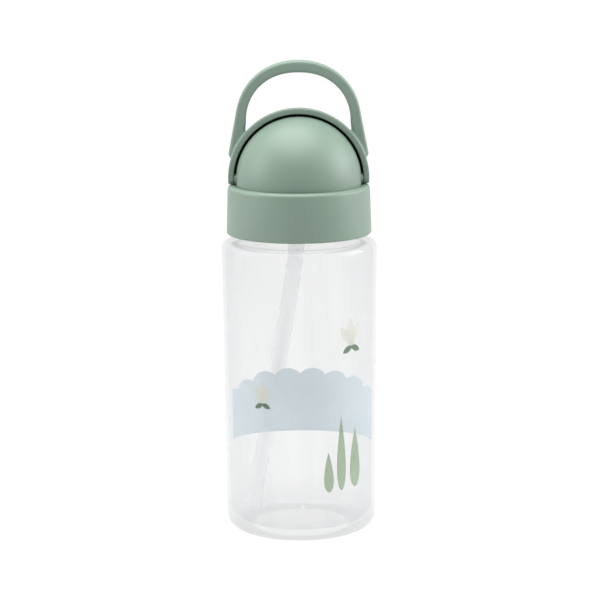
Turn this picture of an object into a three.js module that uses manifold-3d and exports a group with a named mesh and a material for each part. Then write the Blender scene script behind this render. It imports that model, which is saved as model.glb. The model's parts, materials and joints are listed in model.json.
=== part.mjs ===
// A child's straw bottle, in millimetres, +Z up, standing on Z = 0 with its axis on Z and its front towards -Y.
// A clear threaded body carries a screw lid: a collar, a fixed half dome, and a visor with a carry handle that
// swings forward about two trunnions and lets the soft spout behind it stand up. A straw hangs from the spout.
import * as THREE from "three";
import { mergeVertices } from "three/addons/utils/BufferGeometryUtils.js";
import Module from "manifold-3d";

const wasm = await Module();
wasm.setup();

// Driving dimensions
const gap = 0.3; // between pieces that touch
const body = {
  topRadius: 33.5,
  baseRadius: 32.55,
  baseCorner: 8.5,
  shoulderZ: 126.2,
  shoulderCorner: 6,
  wall: 1.6,
  floor: 2.4,
  pushUp: 1.6, // height of the hollow under the base
  footRadius: 21, // inner edge of the ring that the body stands on
};
const neck = { radius: 27.2, bore: 25.4, topZ: 144.2, beadRadius: 28.1, beadZ: 130.5 };
const thread = {
  lead: 4, // rise in one turn
  turns: 1.5,
  depth: 1.1,
  rootWidth: 2,
  crestWidth: 1.1,
  fade: 0.08, // part of a turn over which each end runs out
  startZ: 134.9, // where the neck's ridge begins
};
const collar = {
  bottomZ: 129.4,
  topZ: 150.1,
  bottomRadius: 31.1,
  topRadius: 30.4,
  edge: 1.7, // rounding of the top edge
  bore: 28.9,
  roof: 1.9,
  mouth: 27.1,
};
const dome = { radius: 26.75, wall: 1.8, deckZ: 146.2, deck: 1.7, flangeRadius: 28.4, backY: 2.6 };
const pivotZ = 152.6; // height of the visor's axis, which is along X
const trunnion = { radius: 1.2, reach: 29.9, running: 0.15, shoulder: 2.2 };
const visor = { radius: 30.3, inner: 27.85, lip: 2.1 }; // lip: how far it reaches past its axis
const handle = {
  frontY: 1.5,
  backY: 8.5,
  archZ: 176, // where both arches are widest
  outer: { width: 27, height: 26.8, power: 2.1 },
  inner: { width: 22.4, height: 21.7, power: 2.2 },
  legTopZ: 182,
  foot: { x: 30.1, z: 163, cornerZ: 160.6 },
};
const spout = {
  radius: 4.2,
  bore: 2.3,
  lean: 10, // degrees back from upright when it stands
  fold: 128, // degrees that it folds back by under the closed visor
  rootY: 3.4,
  rootZ: 148.3,
  rootLength: 22,
  mouthLength: 25,
  flange: 6.3,
  socket: 4.9,
  socketDepth: 9.5,
};
const straw = {
  radius: 3.5,
  bore: 2.9,
  topZ: 144,
  knee: [0.5, 3.2, 118], // these two pull the curve between its ends
  bow: [-8.2, 4.4, 82],
  bottom: [-21, 4.6, 6.2],
};
const vent = { x: 13, y: 12, hole: 1.4, stem: 1.1, cap: 3.2, bulb: 2 };
const turnSteps = 60;

const radians = THREE.MathUtils.degToRad;

// A closed geometry as a solid that can be cut and joined
function solidOf(geometry) {
  const bare = geometry.index ? geometry.toNonIndexed() : geometry.clone();
  bare.deleteAttribute("normal");
  bare.deleteAttribute("uv");
  const merged = mergeVertices(bare, 1e-4);
  return new wasm.Manifold(
    new wasm.Mesh({
      numProp: 3,
      vertProperties: merged.attributes.position.array,
      triVerts: new Uint32Array(merged.index.array),
    }),
  );
}

function geometryOf(solid) {
  const { vertProperties, triVerts } = solid.getMesh();
  const geometry = new THREE.BufferGeometry();
  geometry.setAttribute("position", new THREE.BufferAttribute(vertProperties, 3));
  geometry.setIndex(new THREE.BufferAttribute(triVerts, 1));
  geometry.computeVertexNormals();
  return geometry;
}

// Revolves [radius, z] points round Z. They run anticlockwise seen with Z up, and start and end on the axis
// or close on themselves.
function turned(points, steps = turnSteps) {
  const profile = points.map(([radius, z]) => new THREE.Vector2(radius, z));
  return solidOf(new THREE.LatheGeometry(profile, steps).rotateX(Math.PI / 2));
}

function ring(inner, outer, bottomZ, topZ, steps = turnSteps) {
  return turned(
    [
      [inner, bottomZ],
      [outer, bottomZ],
      [outer, topZ],
      [inner, topZ],
      [inner, bottomZ],
    ],
    steps,
  );
}

function disc(radius, bottomZ, topZ, steps = turnSteps) {
  return turned(
    [
      [0, bottomZ],
      [radius, bottomZ],
      [radius, topZ],
      [0, topZ],
    ],
    steps,
  );
}

function ball(radius, centreZ, steps = 52) {
  const sphere = new THREE.SphereGeometry(radius, steps, steps / 2);
  return solidOf(sphere.rotateZ(Math.PI / 2).translate(0, 0, centreZ));
}

// A quarter turn of [radius, z] points about a corner's centre, from one angle to another in degrees
function cornerArc(centreRadius, centreZ, size, from, to, steps = 5) {
  return Array.from({ length: steps + 1 }, (_, i) => {
    const angle = radians(from + ((to - from) * i) / steps);
    return [centreRadius + size * Math.cos(angle), centreZ + size * Math.sin(angle)];
  });
}

// A tube or rod between two points
function rod(from, to, radius, steps = 24) {
  const start = new THREE.Vector3(...from);
  const run = new THREE.Vector3(...to).sub(start);
  const shape = new THREE.CylinderGeometry(radius, radius, run.length(), steps);
  shape.translate(0, run.length() / 2, 0);
  const along = new THREE.Quaternion().setFromUnitVectors(new THREE.Vector3(0, 1, 0), run.clone().normalize());
  return solidOf(shape.applyQuaternion(along).translate(start.x, start.y, start.z));
}

// A ridge wound right-handed round Z, sunk into its wall and running out at both ends.
// A negative depth makes it stand inwards.
function threadRidge(wallRadius, depth, startZ) {
  const sunk = -0.5 * Math.sign(depth);
  const steps = thread.turns * 32;
  const positions = [];
  for (let i = 0; i <= steps; i++) {
    const turn = (thread.turns * i) / steps;
    const angle = 2 * Math.PI * turn;
    const z = startZ + thread.lead * turn;
    const runOut = Math.min(1, 0.05 + Math.min(turn, thread.turns - turn) / thread.fade);
    const crest = wallRadius + depth * runOut;
    for (const [radius, dz] of [
      [wallRadius + sunk, -thread.rootWidth / 2],
      [crest, -thread.crestWidth / 2],
      [crest, thread.crestWidth / 2],
      [wallRadius + sunk, thread.rootWidth / 2],
    ])
      positions.push(radius * Math.cos(angle), radius * Math.sin(angle), z + dz);
  }
  const faces = [];
  for (let i = 0; i < steps; i++)
    for (let k = 0; k < 4; k++) {
      const [a, b] = [4 * i + k, 4 * i + ((k + 1) % 4)];
      faces.push([a, a + 4, b], [b, a + 4, b + 4]);
    }
  const last = 4 * steps;
  faces.push([0, 1, 2], [0, 2, 3], [last, last + 2, last + 1], [last, last + 3, last + 2]);
  const geometry = new THREE.BufferGeometry();
  geometry.setAttribute("position", new THREE.Float32BufferAttribute(positions, 3));
  geometry.setIndex(faces.flatMap((face) => (depth > 0 ? face : [...face].reverse())));
  return solidOf(geometry);
}

// The body tapers evenly between its base corner and its shoulder corner.
function bottleBody() {
  const { topRadius, baseRadius, baseCorner, shoulderCorner, wall } = body;
  const ledge = topRadius - shoulderCorner;
  const cornerZ = body.shoulderZ - shoulderCorner;
  const innerBase = baseRadius - baseCorner;
  const floorZ = body.pushUp + body.floor;
  const profile = [
    [0, body.pushUp],
    [body.footRadius - 6, body.pushUp],
    [body.footRadius, 0],
    ...cornerArc(innerBase, baseCorner, baseCorner, -90, 0, 6),
    ...cornerArc(ledge, cornerZ, shoulderCorner, 0, 90),
    [neck.radius, body.shoulderZ],
    [neck.radius, neck.beadZ - 1.2],
    [neck.beadRadius, neck.beadZ - 0.5],
    [neck.beadRadius, neck.beadZ + 0.5],
    [neck.radius, neck.beadZ + 1.2],
    [neck.radius, neck.topZ - 0.5],
    [neck.radius - 0.5, neck.topZ],
    [neck.bore, neck.topZ],
    [neck.bore, body.shoulderZ - wall],
    ...cornerArc(ledge, cornerZ, shoulderCorner - wall, 90, 0),
    ...cornerArc(innerBase, floorZ + baseCorner - wall, baseCorner - wall, 0, -90, 6),
    [0, floorZ],
  ];
  return turned(profile, 48).add(threadRidge(neck.radius, thread.depth, thread.startZ));
}

// The collar's thread runs half a pitch below the neck's, under its ridge.
function lidCollar() {
  const { bottomZ, topZ, bottomRadius, topRadius, edge, bore, mouth } = collar;
  const skirt = turned([
    [bore, bottomZ + 0.6],
    [bore + 0.6, bottomZ],
    [bottomRadius - 0.9, bottomZ],
    [bottomRadius - 0.1, bottomZ + 0.7],
    ...cornerArc(topRadius - edge, topZ - edge, edge, 0, 90),
    [mouth, topZ],
    [mouth, topZ - collar.roof],
    [bore, topZ - collar.roof],
    [bore, bottomZ + 0.6],
  ]);
  return skirt.add(threadRidge(bore, -thread.depth, thread.startZ - thread.lead / 2));
}

// A box that spans the lid in X between two Y values and two Z values
function slab(fromY, toY, fromZ, toZ) {
  const box = new THREE.BoxGeometry(80, toY - fromY, toZ - fromZ);
  return solidOf(box.translate(0, (fromY + toY) / 2, (fromZ + toZ) / 2));
}

function lidDome() {
  const { radius, wall, deckZ, deck, flangeRadius, backY } = dome;
  const deckTop = deckZ + deck;
  const hood = ball(radius, pivotZ)
    .subtract(slab(-40, 40, 100, pivotZ))
    .add(disc(radius, deckZ, pivotZ));
  const room = ball(radius - wall, pivotZ)
    .subtract(slab(-40, 40, 100, pivotZ))
    .add(disc(radius - wall, deckTop, pivotZ));
  const openBack = slab(backY, 40, collar.topZ, 200);
  let insert = hood.subtract(room).subtract(openBack).add(disc(flangeRadius, deckZ, deckTop));
  const spoutHole = rod([0, spout.rootY - 0.2, 140], [0, spout.rootY - 0.2, 150], spout.radius + gap);
  const ventHole = rod([vent.x, vent.y, 140], [vent.x, vent.y, 150], vent.hole);
  insert = insert.subtract(spoutHole).subtract(ventHole);
  for (const side of [-1, 1]) {
    const at = (x) => [side * x, 0, pivotZ];
    insert = insert
      .add(rod(at(radius - 1), at(trunnion.reach), trunnion.radius))
      .add(rod(at(radius - 1), at(visor.inner - gap), trunnion.shoulder));
  }
  return insert;
}

// One leg and half of the arch; the other half is its mirror image.
function archPoint({ width, height, power }, z) {
  const rise = Math.min(1, (z - handle.archZ) / height);
  return width * Math.pow(1 - Math.pow(rise, power), 1 / power);
}

function archSide(arch, fromZ, steps = 14) {
  const startRise = (fromZ - handle.archZ) / arch.height;
  const startAngle = Math.asin(startRise);
  return Array.from({ length: steps + 1 }, (_, i) => {
    const angle = startAngle + ((Math.PI / 2 - startAngle) * i) / steps;
    const z = handle.archZ + arch.height * Math.sin(angle);
    return [i === steps ? 0 : archPoint(arch, z), z];
  });
}

function handleBlank() {
  const { outer, inner, foot, legTopZ, frontY, backY } = handle;
  const rightOuter = [[26.5, foot.cornerZ], [foot.x - 0.9, foot.cornerZ], [foot.x, foot.z], ...archSide(outer, legTopZ)];
  const rightInner = [[inner.width, pivotZ + 14], ...archSide(inner, handle.archZ)];
  const mirrored = (points) => points.slice(0, -1).reverse().map(([x, z]) => [-x, z]);
  const outline = [...rightOuter, ...mirrored(rightOuter), ...mirrored(rightInner).reverse(), ...rightInner.reverse()];
  const shape = new THREE.Shape(outline.map(([x, z]) => new THREE.Vector2(x, z)));
  const bar = new THREE.ExtrudeGeometry(shape, { depth: backY - frontY, bevelEnabled: false });
  return solidOf(bar.rotateX(Math.PI / 2).translate(0, backY, 0));
}

// A quarter sphere that reaches one lip past its axis on both edges, rounded about the axis where they meet
function visorShell() {
  const { radius, inner, lip } = visor;
  const quarter = new THREE.Shape();
  quarter.moveTo(-lip, 0);
  quarter.absarc(0, 0, lip, Math.PI, 1.5 * Math.PI, false);
  quarter.lineTo(40, -lip);
  quarter.lineTo(40, 40);
  quarter.lineTo(-lip, 40);
  const wedge = new THREE.ExtrudeGeometry(quarter, { depth: 80, bevelEnabled: false, curveSegments: 8 });
  wedge.translate(0, 0, -40).rotateY(Math.PI / 2).rotateX(Math.PI / 2);
  wedge.translate(0, 0, pivotZ);
  let shell = ball(radius, pivotZ).subtract(ball(inner, pivotZ)).intersect(solidOf(wedge));
  shell = shell.add(handleBlank().subtract(ball(radius - 0.8, pivotZ)));
  const hole = trunnion.radius + trunnion.running;
  return shell.subtract(rod([-40, 0, pivotZ], [40, 0, pivotZ], hole));
}

// A point on the spout's axis, in the YZ plane: how far it is past the bend, along the root or the folded mouth
function spoutPoint(past) {
  const { lean, fold, rootY, rootZ, rootLength } = spout;
  const rootAngle = radians(lean);
  const angle = past > 0 ? radians(lean + fold) : rootAngle;
  const y = rootY + rootLength * Math.sin(rootAngle) + past * Math.sin(angle);
  const z = rootZ + rootLength * Math.cos(rootAngle) + past * Math.cos(angle);
  return [0, y, z];
}

// The mouth has a round knuckle at the bend, as its soft wall has when it is folded.
function spoutMouth(grown = 0) {
  const { radius, mouthLength } = spout;
  const [, bendY, bendZ] = spoutPoint(0);
  const knuckle = ball(radius + grown, 0, 20).translate([0, bendY, bendZ]);
  return knuckle.add(rod(spoutPoint(0), spoutPoint(mouthLength), radius + grown, 20));
}

function spoutChannel() {
  const { bore, rootLength, mouthLength } = spout;
  const bend = spoutPoint(0);
  return rod(spoutPoint(-rootLength - 1), bend, bore, 14)
    .add(ball(bore, 0, 14).translate(bend))
    .add(rod(bend, spoutPoint(mouthLength + 1), bore, 14));
}

function spoutMouthpiece() {
  return spoutMouth().subtract(spoutChannel());
}

function spoutBase() {
  const { deckZ, deck } = dome;
  const deckTop = deckZ + deck;
  const at = (z) => [0, spout.rootY - 0.2, z];
  const root = spoutPoint(-spout.rootLength);
  const stem = rod(at(deckZ - 1), root, spout.radius - 0.1, 20).add(rod(root, spoutPoint(0), spout.radius, 20));
  const upperFlange = rod(at(deckTop + gap), at(deckTop + 1.6), spout.flange);
  const lowerFlange = rod(at(deckZ - 1.8), at(deckZ - gap), spout.flange - 0.4);
  const socket = rod(at(deckZ - 1.8 - spout.socketDepth), at(deckZ - 1.8), spout.socket);
  const strawRoom = rod(at(deckZ - 12), at(straw.topZ + gap), straw.radius + gap);
  const throat = rod(at(straw.topZ), root, spout.bore, 14);
  return stem
    .add(upperFlange)
    .add(lowerFlange)
    .add(socket)
    .subtract(strawRoom)
    .subtract(throat)
    .subtract(spoutChannel())
    .subtract(spoutMouth(gap));
}

// It leaves its socket upright and bows over to the foot of the body.
function drinkingStraw() {
  const topY = spout.rootY - 0.2;
  const path = new THREE.CubicBezierCurve3(
    new THREE.Vector3(0, topY, straw.topZ),
    new THREE.Vector3(...straw.knee),
    new THREE.Vector3(...straw.bow),
    new THREE.Vector3(...straw.bottom),
  );
  const section = new THREE.Shape().absarc(0, 0, straw.radius, 0, 2 * Math.PI, false);
  section.holes.push(new THREE.Path().absarc(0, 0, straw.bore, 0, 2 * Math.PI, true));
  return solidOf(new THREE.ExtrudeGeometry(section, { steps: 10, curveSegments: 8, extrudePath: path }));
}

function neckSeal() {
  return ring(neck.bore + 0.2, neck.radius + 1, neck.topZ + gap, dome.deckZ - gap, 60);
}

// A soft plug with a thin cap under the deck, which lifts to let air in
function ventValve() {
  const { deckZ, deck } = dome;
  const plug = turned(
    [
      [0, deckZ - 1.2],
      [vent.cap - 0.6, deckZ - 1.2],
      [vent.cap, deckZ - gap],
      [vent.stem, deckZ - gap],
      [vent.stem, deckZ + deck + gap],
      [vent.bulb, deckZ + deck + gap],
      [vent.bulb * 0.7, deckZ + deck + 1.5],
      [0, deckZ + deck + 1.8],
    ],
    24,
  );
  return plug.translate([vent.x, vent.y, 0]);
}

const finishes = {
  clear: new THREE.MeshStandardMaterial({ color: 0xf2f4f5, roughness: 0.05, transparent: true, opacity: 0.3 }),
  sage: new THREE.MeshStandardMaterial({ color: 0x8fa898, roughness: 0.45 }),
  silicone: new THREE.MeshStandardMaterial({ color: 0xe9ebe8, roughness: 0.55 }),
  frosted: new THREE.MeshStandardMaterial({ color: 0xe8eaea, roughness: 0.35, transparent: true, opacity: 0.7 }),
};

function piece(name, solid, finish) {
  const mesh = new THREE.Mesh(geometryOf(solid), finishes[finish]);
  mesh.name = name;
  return mesh;
}

const bottle = new THREE.Group();
bottle.name = "straw_bottle";
bottle.add(
  piece("bottle_body", bottleBody(), "clear"),
  piece("neck_seal", neckSeal(), "silicone"),
  piece("lid_collar", lidCollar(), "sage"),
  piece("lid_dome", lidDome(), "sage"),
  piece("visor_with_handle", visorShell(), "sage"),
  piece("spout_base", spoutBase(), "silicone"),
  piece("spout_mouthpiece", spoutMouthpiece(), "silicone"),
  piece("drinking_straw", drinkingStraw(), "frosted"),
  piece("vent_valve", ventValve(), "silicone"),
);

export default bottle;
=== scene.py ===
import bpy
import bmesh
import json
import math
import numpy as np
from mathutils import Matrix, Vector


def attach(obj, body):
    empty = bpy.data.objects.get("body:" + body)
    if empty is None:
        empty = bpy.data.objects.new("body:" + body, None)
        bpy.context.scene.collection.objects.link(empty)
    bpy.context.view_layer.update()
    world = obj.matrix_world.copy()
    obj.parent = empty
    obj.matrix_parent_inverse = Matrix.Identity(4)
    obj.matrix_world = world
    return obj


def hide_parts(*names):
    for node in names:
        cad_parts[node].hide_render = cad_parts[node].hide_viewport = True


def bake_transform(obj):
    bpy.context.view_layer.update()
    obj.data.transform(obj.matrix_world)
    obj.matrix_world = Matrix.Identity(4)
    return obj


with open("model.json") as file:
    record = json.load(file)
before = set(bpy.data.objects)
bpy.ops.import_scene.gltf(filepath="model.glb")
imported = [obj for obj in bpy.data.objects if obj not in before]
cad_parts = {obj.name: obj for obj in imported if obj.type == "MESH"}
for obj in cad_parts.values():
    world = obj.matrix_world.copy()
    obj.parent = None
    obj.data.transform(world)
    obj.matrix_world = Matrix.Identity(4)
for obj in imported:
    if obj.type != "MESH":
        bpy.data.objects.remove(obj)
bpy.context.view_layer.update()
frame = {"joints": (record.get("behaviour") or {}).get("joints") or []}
mm = 0.001
rad = math.radians
scene = bpy.context.scene


def placed(name, data):
    obj = bpy.data.objects.new(name, data)
    scene.collection.objects.link(obj)
    return obj


# camera: long lens a little above the lid, looking slightly down

cameraSetup = {
    "place": (0.17, -943, 283),    # mm
    "pitch": 11,                   # degrees below the horizon
    "roll": -0.42,
    "lens": 133.3,
    "sensor": 36,
}


def makeCamera():
    s = cameraSetup
    data = bpy.data.cameras.new("camera")
    data.lens = s["lens"]
    data.sensor_width = s["sensor"]
    camera = placed("camera", data)
    turn = Matrix.Rotation(rad(90 - s["pitch"]), 4, "X") @ Matrix.Rotation(rad(s["roll"]), 4, "Z")
    camera.matrix_world = Matrix.Translation(Vector(s["place"]) * mm) @ turn
    scene.camera = camera


makeCamera()


# small mesh tools

def ringAngles(steps):
    return [2 * math.pi * k / steps for k in range(steps)]


# eases from 0 to 1
def smooth(t):
    t = np.clip(t, 0, 1)
    return t * t * (3 - 2 * t)


def smoothShaded(mesh, sharpAngle=35):
    mesh.shade_smooth()
    mesh.set_sharp_from_angle(angle=rad(sharpAngle))


def addMesh(name, verts, faces, material, sharpAngle=35):
    mesh = bpy.data.meshes.new(name)
    mesh.from_pydata([tuple(v) for v in verts], [], faces)
    mesh.validate()
    mesh.materials.append(material)
    smoothShaded(mesh, sharpAngle)
    return placed(name, mesh)


# turns faces outward, and joins points closer than weld metres
def facedOut(obj, weld=0):
    bm = bmesh.new()
    bm.from_mesh(obj.data)
    if weld:
        bmesh.ops.remove_doubles(bm, verts=bm.verts, dist=weld)
    bmesh.ops.recalc_face_normals(bm, faces=bm.faces)
    bm.to_mesh(obj.data)
    bm.free()
    return obj


# points are (r, z, fillet); the line is closed
def filletProfile(points, steps=6):
    out = []
    n = len(points)
    for i, (r, z, size) in enumerate(points):
        here = np.array([r, z], float)
        if size <= 0:
            out.append(tuple(here))
            continue
        before = np.array(points[i - 1][:2], float) - here
        after = np.array(points[(i + 1) % n][:2], float) - here
        lengthBefore, lengthAfter = np.linalg.norm(before), np.linalg.norm(after)
        before, after = before / lengthBefore, after / lengthAfter
        half = math.acos(np.clip(before @ after, -1, 1)) / 2
        reach = min(size / math.tan(half), lengthBefore * 0.49, lengthAfter * 0.49)    # leaves some straight
        size = reach * math.tan(half)
        middle = (before + after) / np.linalg.norm(before + after)
        centre = here + middle * size / math.sin(half)
        a, b = here + before * reach - centre, here + after * reach - centre
        span = math.acos(np.clip(a @ b / (size * size), -1, 1))
        for k in range(steps + 1):
            share = k / steps
            if span < 1e-4:
                p = a
            else:
                p = (math.sin((1 - share) * span) * a + math.sin(share * span) * b) / math.sin(span)
            out.append(tuple(centre + p))
    return out


# turns a closed (r, z) line in mm round Z; ridge(angle, r, z) may push a point out
def latheMesh(name, profile, material, steps, centre=(0, 0), ridge=None, sharpAngle=35):
    verts, faces, rings = [], [], []
    for r, z in profile:
        if r < 1e-6:
            rings.append([len(verts)])
            verts.append((centre[0] * mm, centre[1] * mm, z * mm))
            continue
        row = []
        for angle in ringAngles(steps):
            reach = r + (ridge(angle, r, z) if ridge else 0)
            x, y = centre[0] + reach * math.cos(angle), centre[1] + reach * math.sin(angle)
            row.append(len(verts))
            verts.append((x * mm, y * mm, z * mm))
        rings.append(row)
    for i in range(len(rings)):
        a, b = rings[i], rings[(i + 1) % len(rings)]
        if len(a) == 1 and len(b) == 1:
            continue
        for k in range(steps):
            m = (k + 1) % steps
            if len(a) == 1:
                faces.append((a[0], b[m], b[k]))
            elif len(b) == 1:
                faces.append((a[k], a[m], b[0]))
            else:
                faces.append((a[k], a[m], b[m], b[k]))
    return addMesh(name, verts, faces, material, sharpAngle)


# joins rings of points, in metres, into a bar with closed ends, or into a loop back to the first ring
def sweepMesh(name, rings, material, loop=False, sharpAngle=35):
    verts = [p for ring in rings for p in ring]
    count = len(rings[0])
    faces = []
    for i in range(len(rings) if loop else len(rings) - 1):
        j = (i + 1) % len(rings)
        for k in range(count):
            m = (k + 1) % count
            faces.append((i * count + k, i * count + m, j * count + m, j * count + k))
    if not loop:
        faces.append(tuple(reversed(range(count))))
        faces.append(tuple(range((len(rings) - 1) * count, len(rings) * count)))
    return addMesh(name, verts, faces, material, sharpAngle)


# bakes an object's modifiers into its mesh
def applyModifiers(obj):
    graph = bpy.context.evaluated_depsgraph_get()
    mesh = bpy.data.meshes.new_from_object(obj.evaluated_get(graph))
    obj.modifiers.clear()
    obj.data = mesh


def boolean(obj, other, operation):
    cut = obj.modifiers.new(operation, "BOOLEAN")
    cut.operation = operation
    cut.solver = "EXACT"
    cut.object = other
    applyModifiers(obj)
    bpy.data.objects.remove(other)


# a ball with its poles on the X axis
def ballMesh(name, radius, centreZ, material, steps):
    bm = bmesh.new()
    bmesh.ops.create_uvsphere(bm, u_segments=steps, v_segments=steps // 2, radius=radius * mm)
    bmesh.ops.rotate(bm, verts=bm.verts, matrix=Matrix.Rotation(rad(90), 3, "Y"))
    bmesh.ops.translate(bm, verts=bm.verts, vec=(0, 0, centreZ * mm))
    mesh = bpy.data.meshes.new(name)
    bm.to_mesh(mesh)
    bm.free()
    mesh.materials.append(material)
    return placed(name, mesh)


# a rod along X, for boring holes
def rodMesh(name, radius, reach, centreZ, material, steps=48):
    rings = [[(x * mm, radius * math.cos(a) * mm, (centreZ + radius * math.sin(a)) * mm)
              for a in ringAngles(steps)] for x in (-reach, reach)]
    return sweepMesh(name, rings, material)


# a block between two corners, for cutting away
def blockMesh(name, low, high, material):
    square = [(low[0], low[1]), (high[0], low[1]), (high[0], high[1]), (low[0], high[1])]
    rings = [[(x * mm, y * mm, z * mm) for x, y in square] for z in (low[2], high[2])]
    return sweepMesh(name, rings, material)


# material tools

def newMaterial(name):
    material = bpy.data.materials.new(name)
    material.use_nodes = True
    nodes, links = material.node_tree.nodes, material.node_tree.links
    nodes.clear()
    output = nodes.new("ShaderNodeOutputMaterial")
    shader = nodes.new("ShaderNodeBsdfPrincipled")
    links.new(shader.outputs[0], output.inputs["Surface"])
    return material, nodes, links, shader


def noise(nodes, links, scale, detail, stretch=None):
    place = nodes.new("ShaderNodeTexCoord").outputs["Object"]
    texture = nodes.new("ShaderNodeTexNoise")
    texture.inputs["Scale"].default_value = scale
    texture.inputs["Detail"].default_value = detail
    if stretch:
        mapping = nodes.new("ShaderNodeMapping")
        mapping.inputs["Scale"].default_value = stretch
        links.new(place, mapping.inputs["Vector"])
        place = mapping.outputs["Vector"]
    links.new(place, texture.inputs["Vector"])
    return texture.outputs["Fac"]


# spreads the middle of a noise over a range of values
def ranged(nodes, links, source, low, high):
    span = nodes.new("ShaderNodeMapRange")
    span.inputs["From Min"].default_value = 0.3
    span.inputs["From Max"].default_value = 0.7
    span.inputs["To Min"].default_value = low
    span.inputs["To Max"].default_value = high
    links.new(source, span.inputs["Value"])
    return span.outputs["Result"]


# a colour that drifts between two tones
def drifting(nodes, links, scale, detail, dark, light):
    mix = nodes.new("ShaderNodeMix")
    mix.data_type = "RGBA"
    mix.inputs["A"].default_value = (*dark, 1)
    mix.inputs["B"].default_value = (*light, 1)
    links.new(ranged(nodes, links, noise(nodes, links, scale, detail), 0, 1), mix.inputs["Factor"])
    return mix.outputs["Result"]


def bumped(nodes, links, shader, height, strength, distance):
    bump = nodes.new("ShaderNodeBump")
    bump.inputs["Strength"].default_value = strength
    bump.inputs["Distance"].default_value = distance
    links.new(height, bump.inputs["Height"])
    links.new(bump.outputs["Normal"], shader.inputs["Normal"])


def combined(nodes, links, operation, first, second):
    node = nodes.new("ShaderNodeMath")
    node.operation = operation
    links.new(first, node.inputs[0])
    links.new(second, node.inputs[1])
    return node


# an axis of a texture coordinate
def axisOf(nodes, links, coordinate, axis):
    place = nodes.new("ShaderNodeTexCoord")
    split = nodes.new("ShaderNodeSeparateXYZ")
    links.new(place.outputs[coordinate], split.inputs[0])
    return split.outputs[axis]


# 0 to 255 screen values to linear light
def linear(r, g, b):
    return tuple((c / 255 / 12.92) if c <= 10 else ((c / 255 + 0.055) / 1.055) ** 2.4 for c in (r, g, b))


# materials

lidFinish = {
    "light": linear(118, 139, 125), "dark": linear(114, 135, 121), "drift": 45,
    "roughness": (0.42, 0.52), "ior": 1.49,
    "fine": 3800, "bump": 0.25, "grain": 0.00001,
    "sheen": 0.4, "sheenRoughness": 0.5,    # the moulding's smooth skin
}


def satinPlastic():
    s = lidFinish
    material, nodes, links, shader = newMaterial("satinSagePlastic")
    links.new(drifting(nodes, links, s["drift"], 2, s["dark"], s["light"]), shader.inputs["Base Color"])
    fine = noise(nodes, links, s["fine"], 2)
    links.new(ranged(nodes, links, fine, *s["roughness"]), shader.inputs["Roughness"])
    bumped(nodes, links, shader, fine, s["bump"], s["grain"])
    shader.inputs["IOR"].default_value = s["ior"]
    shader.inputs["Coat Weight"].default_value = s["sheen"]
    shader.inputs["Coat Roughness"].default_value = s["sheenRoughness"]
    return material


# thin clear wall: each face covers a little of what is behind it, and more where it is seen edge on
clearFinish = {
    "milky": linear(170, 173, 176), "roughness": (0.1, 0.17), "ior": 1.9,
    "outside": (0.15, 0.36), "inside": (0.03, 0.12), "edge": 0.35,
    "flow": 0.015, "flowScale": 90, "flowStretch": (1, 1, 0.1),    # faint flow lines of the mould
    "base": 0.065, "baseHeight": 0.013,                            # the walls cover more towards the bottom, so the body is drawn milkier and darker there
}


def clearPlastic(name, covers):
    s = clearFinish
    material, nodes, links, shader = newMaterial(name)
    shader.inputs["Base Color"].default_value = (*s["milky"], 1)
    shader.inputs["IOR"].default_value = s["ior"]
    drawn = noise(nodes, links, s["flowScale"], 3, stretch=s["flowStretch"])
    links.new(ranged(nodes, links, drawn, *s["roughness"]), shader.inputs["Roughness"])
    edgeOn = nodes.new("ShaderNodeLayerWeight")
    edgeOn.inputs["Blend"].default_value = s["edge"]
    cover = nodes.new("ShaderNodeMapRange")
    cover.inputs["To Min"].default_value, cover.inputs["To Max"].default_value = covers
    links.new(edgeOn.outputs["Facing"], cover.inputs["Value"])
    flow = ranged(nodes, links, drawn, -s["flow"], s["flow"])
    wall = combined(nodes, links, "ADD", cover.outputs["Result"], flow)
    # more cover towards the bottom, by height alone: the lower body is drawn darker and milkier
    towardsBottom = nodes.new("ShaderNodeMapRange")
    towardsBottom.interpolation_type = "SMOOTHSTEP"
    towardsBottom.inputs["From Max"].default_value = s["baseHeight"]
    towardsBottom.inputs["To Min"].default_value, towardsBottom.inputs["To Max"].default_value = s["base"], 0
    links.new(axisOf(nodes, links, "Object", "Z"), towardsBottom.inputs["Value"])
    whole = combined(nodes, links, "ADD", wall.outputs[0], towardsBottom.outputs["Result"])
    links.new(whole.outputs[0], shader.inputs["Alpha"])
    return material


siliconeFinish = {
    "light": linear(236, 238, 234), "dark": linear(228, 231, 227), "drift": 120,
    "roughness": (0.48, 0.6), "ior": 1.41,
    "fine": 3000, "bump": 0.2, "grain": 0.00001,
    "glow": 0.35, "glowReach": (1, 0.95, 0.9), "glowDepth": 0.002,    # light inside the rubber
}


def softSilicone():
    s = siliconeFinish
    material, nodes, links, shader = newMaterial("softSilicone")
    links.new(drifting(nodes, links, s["drift"], 3, s["dark"], s["light"]), shader.inputs["Base Color"])
    fine = noise(nodes, links, s["fine"], 2)
    links.new(ranged(nodes, links, fine, *s["roughness"]), shader.inputs["Roughness"])
    bumped(nodes, links, shader, fine, s["bump"], s["grain"])
    shader.inputs["Subsurface Weight"].default_value = s["glow"]
    shader.inputs["Subsurface Radius"].default_value = s["glowReach"]
    shader.inputs["Subsurface Scale"].default_value = s["glowDepth"]
    shader.inputs["IOR"].default_value = s["ior"]
    return material


strawFinish = {
    "colour": (0.97, 0.972, 0.975), "roughness": (0.3, 0.42), "clear": 0.9, "ior": 1.09,
    "lines": 700, "lineStretch": (1, 1, 0.05), "bump": 0.15, "grain": 0.00002,    # extrusion lines
}


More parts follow.
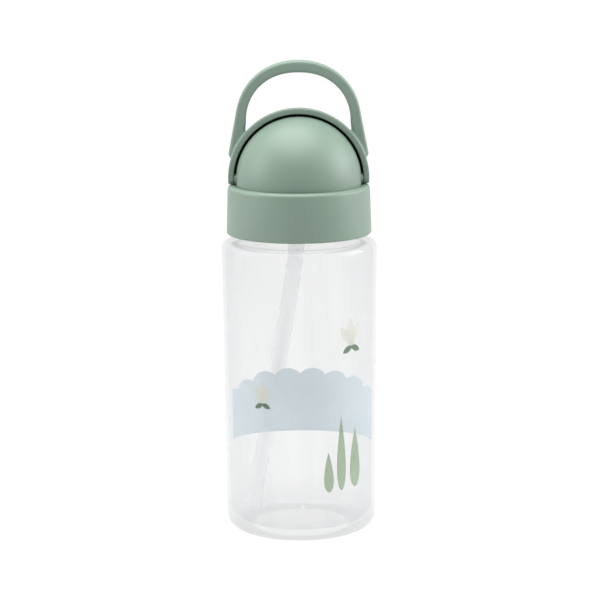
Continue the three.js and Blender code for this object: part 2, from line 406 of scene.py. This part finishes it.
def frostedStraw():
    s = strawFinish
    material, nodes, links, shader = newMaterial("frostedPolypropylene")
    shader.inputs["Base Color"].default_value = (*s["colour"], 1)
    shader.inputs["Transmission Weight"].default_value = s["clear"]
    shader.inputs["IOR"].default_value = s["ior"]
    drawn = noise(nodes, links, s["lines"], 2, stretch=s["lineStretch"])
    links.new(ranged(nodes, links, drawn, *s["roughness"]), shader.inputs["Roughness"])
    bumped(nodes, links, shader, drawn, s["bump"], s["grain"])
    return material


lidPlastic = satinPlastic()
clearOutside = clearPlastic("clearWallOutside", clearFinish["outside"])
clearInside = clearPlastic("clearWallInside", clearFinish["inside"])
silicone = softSilicone()
strawPlastic = frostedStraw()
print("materials made")


# bottle body: one clear moulding with a threaded neck

bodySize = {
    "topRadius": 33.5, "baseRadius": 32.4, "baseCorner": 8.3, "shoulderZ": 126.2, "shoulderCorner": 6,
    "wall": 1.6, "floor": 2.4, "insideBase": 30.85, "insideCorner": 6.9,
    "pushUp": 1.6, "footRadius": 21, "underside": 3, "sides": 192,
    "neckRadius": 27.2, "bore": 25.4, "neckTop": 144.2, "neckEdge": 0.6,
    "beadRadius": 28.1, "beadZ": 130.5, "beadFace": 0.5, "beadFoot": 1.2,    # half heights of the bead
}
screwThread = {"lead": 4, "turns": 1.5, "depth": 1.1, "root": 2, "crest": 1.1, "start": 134.9, "fade": 0.08}


# how far a wound ridge stands out at this angle and height
def ridgeHeight(angle, z, startZ):
    s = screwThread
    high = 0
    for wind in range(math.ceil(s["turns"])):
        turns = angle / (2 * math.pi) + wind
        if turns > s["turns"]:
            continue
        off = abs(z - startZ - s["lead"] * turns)
        slope = (s["root"] - s["crest"]) / 2
        share = smooth((s["root"] / 2 - off) / slope)
        fade = np.clip(min(turns, s["turns"] - turns) / s["fade"], 0, 1)    # both ends run out
        high = max(high, s["depth"] * share * fade)
    return high


# the ridge on a wall of this radius; way is -1 where it stands inward
def threadOn(wallRadius, startZ, way):
    def ridge(angle, r, z):
        return way * ridgeHeight(angle, z, startZ) if abs(r - wallRadius) < 0.01 else 0
    return ridge


def makeBody():
    s = bodySize
    wall, foot, neck, bead = s["wall"], s["footRadius"], s["neckRadius"], s["beadRadius"]
    floorZ, ceilingZ = s["pushUp"] + s["floor"], s["shoulderZ"] - wall
    beadZ, beadTop = s["beadZ"], s["beadZ"] + s["beadFoot"]
    hollow = [(r, s["pushUp"] * (1 - (r / foot) ** 2) ** 2, 0) for r in np.linspace(0, foot, 22)]
    lower = hollow + [
        (s["baseRadius"], 0, s["baseCorner"]), (s["topRadius"], s["shoulderZ"], s["shoulderCorner"]),
        (neck, s["shoulderZ"], 0.7), (neck, beadZ - s["beadFoot"], 0.3),
        (bead, beadZ - s["beadFace"], 0.3), (bead, beadZ + s["beadFace"], 0.3), (neck, beadTop, 0.2)]
    upper = [
        (neck, s["neckTop"], s["neckEdge"]), (s["bore"], s["neckTop"], s["neckEdge"]),
        (s["bore"], ceilingZ, 0.9), (s["topRadius"] - wall, ceilingZ, s["shoulderCorner"] - wall),
        (s["insideBase"], floorZ, s["insideCorner"]), (0, floorZ, 0)]
    profile = filletProfile(lower + upper, 8)
    split = next(i for i, (r, z) in enumerate(profile) if z > beadTop + 0.1)
    threaded = [(neck, z) for z in np.arange(beadTop + 0.4, s["neckTop"] - 1.2, 0.2)]
    profile = profile[:split] + threaded + profile[split:]
    body = latheMesh("bottleBody", profile, clearOutside, steps=s["sides"],
                     ridge=threadOn(neck, screwThread["start"], 1), sharpAngle=40)
    body.data.materials.append(clearInside)
    for face in body.data.polygons:
        x, y, z = face.center
        inBore = math.hypot(x, y) < (s["bore"] + 0.3) * mm and z > s["underside"] * mm
        facesIn = face.normal.x * x + face.normal.y * y < 0
        if inBore or facesIn:
            face.material_index = 1
    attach(body, "bottle")
    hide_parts("bottle_body")


makeBody()
print("bottle body made")


# neck seal: a flat soft ring with a raised bead on top

sealSize = {"inner": 25.6, "outer": 28.2, "low": 144.5, "high": 145.9, "bead": 0.2, "sides": 144}


def makeSeal():
    s = sealSize
    low, high, flat = s["low"], s["high"], s["high"] - s["bead"]
    middle = (s["inner"] + s["outer"]) / 2
    profile = filletProfile([
        (s["inner"], low, 0.3), (s["outer"], low, 0.3), (s["outer"], flat, 0.3),
        (middle + 0.5, flat, 0.15), (middle + 0.2, high, 0.15), (middle - 0.2, high, 0.15),
        (middle - 0.5, flat, 0.15), (s["inner"], flat, 0.3)], 4)
    seal = latheMesh("neckSeal", profile, silicone, steps=s["sides"])
    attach(seal, "seal")
    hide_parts("neck_seal")


makeSeal()
print("seal made")


# screw collar

collarSize = {
    "low": 129.4, "high": 150.1, "lowRadius": 31.15, "highRadius": 30.45, "edge": 1.7, "hem": 0.7,
    "bore": 28.9, "roof": 1.9, "mouth": 27.1, "sides": 224,
}


def makeCollar():
    s = collarSize
    low, high, ceilingZ, bore = s["low"], s["high"], s["high"] - s["roof"], s["bore"]
    profile = filletProfile([
        (bore, low, 0.4), (s["lowRadius"], low, s["hem"]), (s["highRadius"], high, s["edge"]),
        (s["mouth"], high, 0.35), (s["mouth"], ceilingZ, 0.2), (bore, ceilingZ, 0.3)], 8)
    profile += [(bore, z) for z in np.arange(ceilingZ - 1, low + 1, -0.25)]
    startZ = screwThread["start"] - screwThread["lead"] / 2    # half a lead under the neck's ridge
    collar = latheMesh("lidCollar", profile, lidPlastic, steps=s["sides"],
                       ridge=threadOn(bore, startZ, -1), sharpAngle=40)
    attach(collar, "lid")
    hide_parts("lid_collar")


makeCollar()
print("collar made")


# fixed dome: the front half of a ball, its deck and the visor's two pins

domeSize = {
    "radius": 26.75, "wall": 1.8, "pivotZ": 152.6, "deckLow": 146.2, "deckHigh": 147.9, "flange": 28.4,
    "back": 2.6, "sink": 0.2,    # where the ball is cut off, and how far it stands in the deck
    "pin": 1.2, "pinReach": 29.9, "shoulder": 2.3, "shoulderReach": 27.5,
    "sides": 224, "deckSides": 160, "pinSides": 40,
}


def quarterArc(radius, centreZ, steps=40):
    angles = [rad(90) * k / steps for k in range(steps)]
    return [(radius * math.cos(a), centreZ + radius * math.sin(a)) for a in angles]


def makeDome():
    s = domeSize
    foot, inside = s["deckLow"] + s["sink"], s["radius"] - s["wall"]
    profile = [(inside, foot), (s["radius"], foot)] + quarterArc(s["radius"], s["pivotZ"])
    profile += [(0, s["pivotZ"] + s["radius"]), (0, s["pivotZ"] + inside)]
    profile += quarterArc(inside, s["pivotZ"])[::-1]
    hood = latheMesh("domeHood", profile, lidPlastic, steps=s["sides"])
    behind = blockMesh("behind", (-100, s["back"], 50), (100, s["back"] + 100, 250), lidPlastic)
    boolean(hood, behind, "DIFFERENCE")
    smoothShaded(hood.data)
    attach(hood, "lid")
    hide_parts("lid_dome")

    deck = latheMesh("lidDeck", filletProfile([
        (0, s["deckLow"], 0), (s["flange"], s["deckLow"], 0.3),
        (s["flange"], s["deckHigh"], 0.3), (0, s["deckHigh"], 0)], 4), lidPlastic, steps=s["deckSides"])
    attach(deck, "lid")

    for side, name in ((-1, "pinLeft"), (1, "pinRight")):
        stations = [(s["radius"] - 1, s["shoulder"]), (s["shoulderReach"] - 0.3, s["shoulder"]),
                    (s["shoulderReach"], s["shoulder"] - 0.3), (s["shoulderReach"], s["pin"] + 0.1),
                    (s["shoulderReach"] + 0.1, s["pin"]), (s["pinReach"] - 0.35, s["pin"]),
                    (s["pinReach"] - 0.08, s["pin"] - 0.2), (s["pinReach"], s["pin"] - 0.5)]
        rings = [[(side * x * mm, radius * math.cos(a) * mm, (s["pivotZ"] - side * radius * math.sin(a)) * mm)
                  for a in ringAngles(s["pinSides"])] for x, radius in stations]
        pin = sweepMesh(name, rings, lidPlastic)
        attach(pin, "lid")


makeDome()
print("dome made")


# visor with its carry handle, one moulding

visorSize = {
    "radius": 30.3, "inner": 27.85, "lip": 2.1, "pivotZ": 152.6, "hole": 1.35, "holeReach": 40,
    "voxel": 0.32, "softenPasses": 5, "soften": 0.5, "ballSides": 192,
    "beyond": 45,    # how far the wedge runs, past the lid all round
}
handleSize = {
    "front": 1.5, "back": 8.5, "archZ": 176, "edge": 1.3,
    "outer": (27, 26.8, 2.1), "inner": (22.4, 21.7, 2.2),    # half width, height, squareness
    "flareZ": 182, "footX": 30.1, "footZ": 163, "legInner": (22.4, 24.2),
    "footEnd": 160.8, "footTuck": 1.1, "footRound": 2.2,
    "legSteps": 10, "archSteps": 30, "edgeSteps": 5,
}


def archX(arch, z):
    width, height, power = arch
    rise = min(max((z - handleSize["archZ"]) / height, 0), 1)
    return width * (1 - rise ** power) ** (1 / power)


# matching points of the handle's outer and inner edge, from the foot up to the top, at x >= 0
def handleEdges():
    h = handleSize
    footEnd, flareZ, archZ = h["footEnd"], h["flareZ"], h["archZ"]
    innerTop, innerFoot = h["legInner"]
    outer, inner = [], []
    flareX = archX(h["outer"], flareZ)
    for k in range(h["legSteps"]):
        share = k / h["legSteps"]
        z = footEnd + (flareZ - footEnd) * share
        run = max((z - h["footZ"]) / (flareZ - h["footZ"]), 0)
        tuck = h["footTuck"] * max(0, 1 - (z - footEnd) / h["footRound"]) ** 2
        outer.append((h["footX"] + (flareX - h["footX"]) * run - tuck, z))
        inner.append((innerFoot + (innerTop - innerFoot) * share, footEnd + (archZ - footEnd) * share))
    startOuter = math.asin((flareZ - archZ) / h["outer"][1])
    for k in range(h["archSteps"] + 1):
        share = k / h["archSteps"]
        for points, arch, start in ((outer, h["outer"], startOuter), (inner, h["inner"], 0)):
            z = archZ + arch[1] * math.sin(start + (math.pi / 2 - start) * share)
            points.append((archX(arch, z) if share < 1 else 0, z))
    return outer, inner


def makeHandleBar():
    h = handleSize
    outer, inner = handleEdges()
    outer = outer + [(-x, z) for x, z in reversed(outer[:-1])]
    inner = inner + [(-x, z) for x, z in reversed(inner[:-1])]
    middle, depth, edge = (h["front"] + h["back"]) / 2, (h["back"] - h["front"]) / 2, h["edge"]
    rings = []
    for outerPoint, innerPoint in zip(outer, inner):
        centre = (np.array(outerPoint) + np.array(innerPoint)) / 2
        half = (np.array(outerPoint) - np.array(innerPoint)) / 2
        length = np.linalg.norm(half)
        across = half / length
        ring = []
        for cornerX, cornerY, start in ((1, 1, 0), (-1, 1, 90), (-1, -1, 180), (1, -1, 270)):
            for k in range(h["edgeSteps"] + 1):
                a = rad(start + 90 * k / h["edgeSteps"])
                u = cornerX * (length - edge) + edge * math.cos(a)
                v = cornerY * (depth - edge) + edge * math.sin(a)
                spot = centre + across * u
                ring.append((spot[0] * mm, (middle + v) * mm, spot[1] * mm))
        rings.append(ring)
    return facedOut(sweepMesh("handleBar", rings, lidPlastic))


# the space a quarter ball fills, one lip past its axis on both sides and round at the corner
def wedgeMesh():
    lip, big = visorSize["lip"], visorSize["beyond"]
    corner = [rad(180 + 9 * k) for k in range(11)]
    outline = [(-lip, big)] + [(lip * math.cos(a), lip * math.sin(a)) for a in corner]
    outline += [(big, -lip), (big, big)]
    rings = [[(x * mm, y * mm, (visorSize["pivotZ"] + z) * mm) for y, z in outline] for x in (-big, big)]
    return facedOut(sweepMesh("wedge", rings, lidPlastic))


def makeVisor():
    s = visorSize
    shell = ballMesh("visorWithHandle", s["radius"], s["pivotZ"], lidPlastic, s["ballSides"])
    hollow = ballMesh("hollow", s["inner"], s["pivotZ"], lidPlastic, s["ballSides"])
    bar = makeHandleBar()
    boolean(shell, wedgeMesh(), "INTERSECT")
    boolean(shell, bar, "UNION")
    boolean(shell, hollow, "DIFFERENCE")
    boolean(shell, rodMesh("hole", s["hole"], s["holeReach"], s["pivotZ"], lidPlastic), "DIFFERENCE")
    remesh = shell.modifiers.new("even", "REMESH")
    remesh.mode = "VOXEL"
    remesh.voxel_size = s["voxel"] * mm
    soften = shell.modifiers.new("soften", "SMOOTH")
    soften.factor = s["soften"]
    soften.iterations = s["softenPasses"]
    applyModifiers(shell)
    shell.data.shade_smooth()
    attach(shell, "visor")
    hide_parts("visor_with_handle")
    print("visor made,", len(shell.data.vertices), "points")


makeVisor()


# soft spout: a socket in the deck and a tube that folds back under the visor

spoutSize = {
    "lean": 10, "fold": 128, "rootLength": 22.6, "mouthLength": 25, "bendSpan": 16,
    "rootRadius": 4.2, "waist": 3.9, "taper": 14, "lip": 4.3, "lipFrom": 9, "lipTo": 3, "bore": 2.3,
    "tipRound": 0.9, "boreRound": 0.4, "sides": 48,
}
socketSize = {
    "y": 3.2, "low": 134.9, "hold": 3.8, "outer": 4.9, "flange": 6.3, "neck": 4.1,
    "stop": 144.4, "bore": 2.3, "collar": 3, "sides": 72,
}


def makeSpoutTube():
    s = spoutSize
    joint = next(j for j in frame["joints"] if j["name"] == "spout_bend")
    bend = np.array(joint["pos_m"], float)
    lean, fold = rad(s["lean"]), rad(s["fold"])
    up = np.array([0, math.sin(lean), math.cos(lean)])
    side = np.array([1.0, 0, 0])
    back = np.array([0, math.cos(lean), -math.sin(lean)])
    foot, tip, tipRound, boreRound = -s["rootLength"], s["mouthLength"], s["tipRound"], s["boreRound"]

    def outside(t):
        base = s["rootRadius"] + (s["waist"] - s["rootRadius"]) * smooth((t - foot) / s["taper"])
        flare = smooth((t - tip + s["lipFrom"]) / (s["lipFrom"] - s["lipTo"]))
        return base + (s["lip"] - s["waist"]) * flare

    profile = [(outside(t), t) for t in np.linspace(foot, tip - tipRound, 90)]
    profile += [(outside(tip) - tipRound * (1 - math.cos(a)), tip - tipRound + tipRound * math.sin(a))
                for a in (rad(15 * k) for k in range(1, 7))]
    profile += [(s["bore"] + boreRound * (1 - math.sin(a)), tip - boreRound * (1 - math.cos(a)))
                for a in (rad(22.5 * k) for k in range(5))]
    profile += [(s["bore"], t) for t in np.linspace(tip - 1.2, foot, 80)]
    stood = np.array([bend + mm * (t * up + r * (math.cos(a) * side + math.sin(a) * back))
                      for r, t in profile for a in ringAngles(s["sides"])])

    folded = np.array([0, math.sin(lean + fold), math.cos(lean + fold)])
    along = (up + folded) / np.linalg.norm(up + folded)
    start, end = bend - along * s["bendSpan"] / 2 * mm, bend + along * s["bendSpan"] / 2 * mm

    def foldedBy(share):
        p = stood - bend
        c, n = np.cos(-share * fold), np.sin(-share * fold)
        y, z = p[:, 1] * c - p[:, 2] * n, p[:, 1] * n + p[:, 2] * c
        return np.stack([p[:, 0], y, z], 1) + bend

    low, high = np.zeros(len(stood)), np.ones(len(stood))
    for _ in range(40):    # finds the fold of each point that the blend will later undo
        middle = (low + high) / 2
        wanted = smooth((foldedBy(middle) - start) @ (end - start) / np.dot(end - start, end - start))
        low, high = np.where(wanted > middle, middle, low), np.where(wanted > middle, high, middle)
    rings = foldedBy((low + high) / 2).reshape(len(profile), s["sides"], 3)
    tube = sweepMesh("spoutTube", rings, silicone, loop=True, sharpAngle=60)
    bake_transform(tube)
    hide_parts("spout_mouthpiece")


def makeSpoutSocket():
    s, deckLow, deckHigh = socketSize, domeSize["deckLow"], domeSize["deckHigh"]
    flange, neck, top = s["flange"], s["neck"], domeSize["deckHigh"] + s["collar"]
    profile = filletProfile([
        (s["hold"], s["low"], 0.3), (s["outer"], s["low"], 0.5), (s["outer"], deckLow - 2.4, 0.6),
        (flange - 0.4, deckLow - 1.6, 0.3), (flange - 0.4, deckLow - 0.1, 0.2), (neck, deckLow - 0.1, 0),
        (neck, deckHigh + 0.05, 0), (flange, deckHigh + 0.05, 0.25), (flange, deckHigh + 1.1, 0.5),
        (4.6, deckHigh + 1.5, 0.5), (4.05, top, 0.3), (s["bore"], top, 0),
        (s["bore"], s["stop"], 0), (s["hold"], s["stop"], 0)], 5)
    socket = latheMesh("spoutSocket", profile, silicone, steps=s["sides"], centre=(0, s["y"]), sharpAngle=45)
    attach(socket, "lid")
    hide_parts("spout_base")


makeSpoutTube()
makeSpoutSocket()
print("spout made")


# air vent: a small soft plug through the deck

ventSize = {"place": (13, 12), "cap": 3.2, "stem": 1.1, "bulb": 2, "under": 1.2, "over": 1.75, "sides": 48}


def makeVent():
    s, deckLow, deckHigh = ventSize, domeSize["deckLow"], domeSize["deckHigh"]
    low, high = deckLow - s["under"], deckHigh + s["over"]
    profile = filletProfile([
        (0, low, 0), (s["cap"] - 0.7, low, 0.5), (s["cap"], deckLow - 0.1, 0.15),
        (s["stem"], deckLow - 0.1, 0), (s["stem"], deckHigh + 0.1, 0),
        (s["bulb"], deckHigh + 0.1, 0.3), (s["bulb"] * 0.85, deckHigh + 1.1, 0.5),
        (0.6, high, 0.4), (0, high, 0)], 5)
    vent = latheMesh("ventValve", profile, silicone, steps=s["sides"], centre=s["place"])
    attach(vent, "lid")
    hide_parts("vent_valve")


makeVent()
print("vent made")


# drinking straw: hangs from the socket and leans over to the foot of the body

strawSize = {
    "radius": 3.5, "bore": 2.9, "sides": 40, "stations": 60,
    "top": (0, 3.2, 144), "knee": (0.5, 3.2, 118), "bow": (-8.2, 4.4, 82), "end": (-21, 4.6, 6.2),
}


def makeStraw():
    s = strawSize
    top, knee, bow, end = (np.array(s[key], float) for key in ("top", "knee", "bow", "end"))
    outer, inner = [], []
    for i in range(s["stations"] + 1):
        t = i / s["stations"]
        u = 1 - t
        centre = u ** 3 * top + 3 * t * u ** 2 * knee + 3 * t * t * u * bow + t ** 3 * end
        ahead = u ** 2 * (knee - top) + 2 * t * u * (bow - knee) + t * t * (end - bow)
        ahead = ahead / np.linalg.norm(ahead)
        across = np.cross(ahead, [0, 1, 0])
        across = across / np.linalg.norm(across)
        other = np.cross(ahead, across)
        for rings, radius in ((outer, s["radius"]), (inner, s["bore"])):
            rings.append([(centre + radius * (math.cos(a) * across + math.sin(a) * other)) * mm
                          for a in ringAngles(s["sides"])])
    straw = facedOut(sweepMesh("drinkingStraw", outer + inner[::-1], strawPlastic, loop=True, sharpAngle=50))
    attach(straw, "lid")
    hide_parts("drinking_straw")


makeStraw()
print("straw made")


# print: soft hills, grass blades and two sprigs, laid on the outside of the body

inkColours = {    # light, dark, how much it covers
    "hills": (linear(186, 199, 205), linear(176, 190, 198), 0.74),
    "grass": (linear(148, 167, 139), linear(136, 157, 126), 0.86),
    "petal": (linear(208, 209, 201), linear(202, 204, 195), 0.82),
    "bud": (linear(92, 114, 90), linear(78, 102, 78), 0.93),
}
inkFinish = {"wash": 38, "speck": 2600, "roughness": (0.3, 0.45), "uneven": 0.04}
printLay = {"wrap": 33, "lift": 0.03, "weld": 1e-6}


def printInk(name, light, dark, cover):
    s = inkFinish
    material, nodes, links, shader = newMaterial(name)
    links.new(drifting(nodes, links, s["wash"], 4, dark, light), shader.inputs["Base Color"])
    speck = noise(nodes, links, s["speck"], 2)
    links.new(ranged(nodes, links, speck, *s["roughness"]), shader.inputs["Roughness"])
    links.new(ranged(nodes, links, speck, cover - s["uneven"], cover + s["uneven"]), shader.inputs["Alpha"])
    return material


inks = {key: printInk(key + "Ink", *value) for key, value in inkColours.items()}


# a spot on the body's outside; across is measured round it from the front, in mm
def onBody(across, z, lift):
    s = bodySize
    radius = s["baseRadius"] + (s["topRadius"] - s["baseRadius"]) * z / s["shoulderZ"] + lift
    angle = across / printLay["wrap"]
    return (radius * math.sin(angle) * mm, -radius * math.cos(angle) * mm, z * mm)


# rows are lines of (across, z) points of equal number
def printed(name, rows, ink, lift):
    verts = [onBody(a, z, lift) for row in rows for a, z in row]
    count = len(rows[0])
    faces = [(i * count + k, (i + 1) * count + k, (i + 1) * count + k + 1, i * count + k + 1)
             for i in range(len(rows) - 1) for k in range(count - 1)]
    obj = facedOut(addMesh(name, verts, faces, inks[ink]), printLay["weld"])
    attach(obj, "bottle")


hillPrint = {
    "from": -36, "to": 40, "low": 50, "droop": 8, "droopAt": 36, "least": 60, "steps": 240, "rows": 10,
    "bumps": [(-31.5, 65, 8), (-23.5, 70.5, 7), (-14.7, 75, 7), (-4.9, 77, 6.8),    # middle, top, half width
              (5, 77, 6.8), (14.6, 75, 7), (24, 71.5, 7.5), (33.6, 65.5, 8)],
}


def makeHills():
    s = hillPrint
    rows = []
    for k in range(s["steps"] + 1):
        across = s["from"] + (s["to"] - s["from"]) * k / s["steps"]
        top = s["least"]
        for centre, high, wide in s["bumps"]:
            off = (across - centre) / wide
            if abs(off) < 1:
                top = max(top, high - wide * (1 - math.sqrt(1 - off * off)))
        low = s["low"] - s["droop"] * (across / s["droopAt"]) ** 2
        rows.append([(across, low + (top - low) * i / s["rows"]) for i in range(s["rows"] + 1)])
    printed("hillPrint", rows, "hills", printLay["lift"])


leafShape = {"steps": 40, "across": 6, "point": 1.7}


# a leaf between two points, widest at belly of its length
def leafRows(foot, tip, wide, belly):
    s = leafShape
    foot, tip = np.array(foot, float), np.array(tip, float)
    along = tip - foot
    across = np.array([along[1], -along[0]]) / np.linalg.norm(along)
    rows = []
    for k in range(s["steps"] + 1):
        t = 0.5 - 0.5 * math.cos(math.pi * k / s["steps"])
        if t < belly:
            width = wide / 2 * math.sqrt(max(0, 1 - ((t - belly) / belly) ** 2))
        else:
            width = wide / 2 * (1 - ((t - belly) / (1 - belly)) ** s["point"])
        middle = foot + along * t
        rows.append([tuple(middle + across * width * (2 * i / s["across"] - 1))
                     for i in range(s["across"] + 1)])
    return rows


grassPrint = {
    "belly": 0.28, "lift": 0.06,
    "blades": [
        {"name": "grassShort", "foot": (12.5, 22.1), "tall": 17.6, "wide": 4.6, "lean": -0.4},
        {"name": "grassTall", "foot": (18.5, 22.3), "tall": 32.8, "wide": 4.6, "lean": -0.3},
        {"name": "grassMiddle", "foot": (26, 22.8), "tall": 26.2, "wide": 6.1, "lean": -0.2},
    ],
}


def makeGrass():
    for s in grassPrint["blades"]:
        x, z = s["foot"]
        rows = leafRows((x, z), (x + s["lean"], z + s["tall"]), s["wide"], grassPrint["belly"])
        printed(s["name"], rows, "grass", grassPrint["lift"])


# each sprig is three pale petals over two green leaves
sprigPrint = [
    {"name": "sprigRight", "heart": (23.6, 84.6), "size": 1.0},
    {"name": "sprigLeft", "heart": (-16.8, 60.6), "size": 0.8},
]
sprigParts = [    # name, tip from the heart, width, belly, ink, lift
    ("PetalA", (-5.4, 8.6), 3.8, 0.62, "petal", 0.06),
    ("PetalB", (4.4, 9.4), 3.8, 0.62, "petal", 0.08),
    ("PetalC", (-0.5, 12.4), 4.2, 0.62, "petal", 0.1),
    ("LeafA", (-4.6, -2.6), 2.6, 0.5, "bud", 0.12),
    ("LeafB", (4.8, -2.2), 2.6, 0.5, "bud", 0.14),
]


def makeSprigs():
    for s in sprigPrint:
        x, z = s["heart"]
        for part, (dx, dz), wide, belly, ink, lift in sprigParts:
            tip = (x + dx * s["size"], z + dz * s["size"])
            printed(s["name"] + part, leafRows((x, z), tip, wide * s["size"], belly), ink, lift)


makeHills()
makeGrass()
makeSprigs()
print("print laid on the body")


# floor and light

studio = {
    "floor": 0.1, "floorGlow": 0.88, "floorHalf": 20,
    "sky": 1.0, "front": 0.32, "dimFrom": -0.2, "seen": 1.05,
    "aim": (0, 0, 0.13),
    "top": {"place": (-0.1, -0.06, 1.15), "size": (1.3, 1.0), "power": 17},
    "right": {"place": (0.95, 0.05, 0.5), "size": (0.6, 0.6), "power": 6.5},
    "left": {"place": (-0.95, -0.1, 0.5), "size": (0.6, 0.6), "power": 3.5},
}


def makeFloor():
    material, nodes, links, shader = newMaterial("paleFloor")
    shader.inputs["Base Color"].default_value = (studio["floor"],) * 3 + (1,)
    shader.inputs["Emission Color"].default_value = (1, 1, 1, 1)
    shader.inputs["Emission Strength"].default_value = studio["floorGlow"]
    links.new(ranged(nodes, links, noise(nodes, links, 300, 2), 0.75, 0.85), shader.inputs["Roughness"])
    h = studio["floorHalf"]
    floor = addMesh("floor", [(-h, -h, 0), (h, -h, 0), (h, h, 0), (-h, h, 0)], [(0, 1, 2, 3)], material)


def makeSky():
    world = bpy.data.worlds.new("studio")
    scene.world = world
    world.use_nodes = True
    nodes, links = world.node_tree.nodes, world.node_tree.links
    nodes.clear()
    output = nodes.new("ShaderNodeOutputWorld")
    sky = nodes.new("ShaderNodeBackground")
    dim = nodes.new("ShaderNodeMapRange")    # the studio is darker on the side the bottle faces
    dim.interpolation_type = "SMOOTHSTEP"
    dim.inputs["From Min"].default_value = -1
    dim.inputs["From Max"].default_value = studio["dimFrom"]
    dim.inputs["To Min"].default_value = studio["front"]
    dim.inputs["To Max"].default_value = studio["sky"]
    links.new(axisOf(nodes, links, "Generated", "Y"), dim.inputs["Value"])
    path = nodes.new("ShaderNodeLightPath")
    seen = combined(nodes, links, "MAXIMUM",
                    path.outputs["Is Camera Ray"], path.outputs["Transmission Depth"])
    seen.use_clamp = True
    plain = nodes.new("ShaderNodeMix")    # what is seen straight or through the straw is evenly bright
    plain.data_type = "FLOAT"
    plain.inputs["B"].default_value = studio["seen"]
    links.new(seen.outputs[0], plain.inputs["Factor"])
    links.new(dim.outputs["Result"], plain.inputs["A"])
    links.new(plain.outputs["Result"], sky.inputs["Strength"])
    links.new(sky.outputs[0], output.inputs["Surface"])


def makeLights():
    for key in ("top", "right", "left"):
        s = studio[key]
        data = bpy.data.lights.new(key + "Softbox", "AREA")
        data.shape = "RECTANGLE"
        data.size, data.size_y = s["size"]
        data.energy = s["power"]
        lamp = placed(key + "Softbox", data)
        toward = Vector(studio["aim"]) - Vector(s["place"])
        aimed = toward.to_track_quat("-Z", "Y").to_matrix().to_4x4()
        lamp.matrix_world = Matrix.Translation(s["place"]) @ aimed


makeFloor()
makeSky()
makeLights()
scene.view_settings.view_transform = "Standard"
print("floor and light made")

bpy.context.view_layer.update()
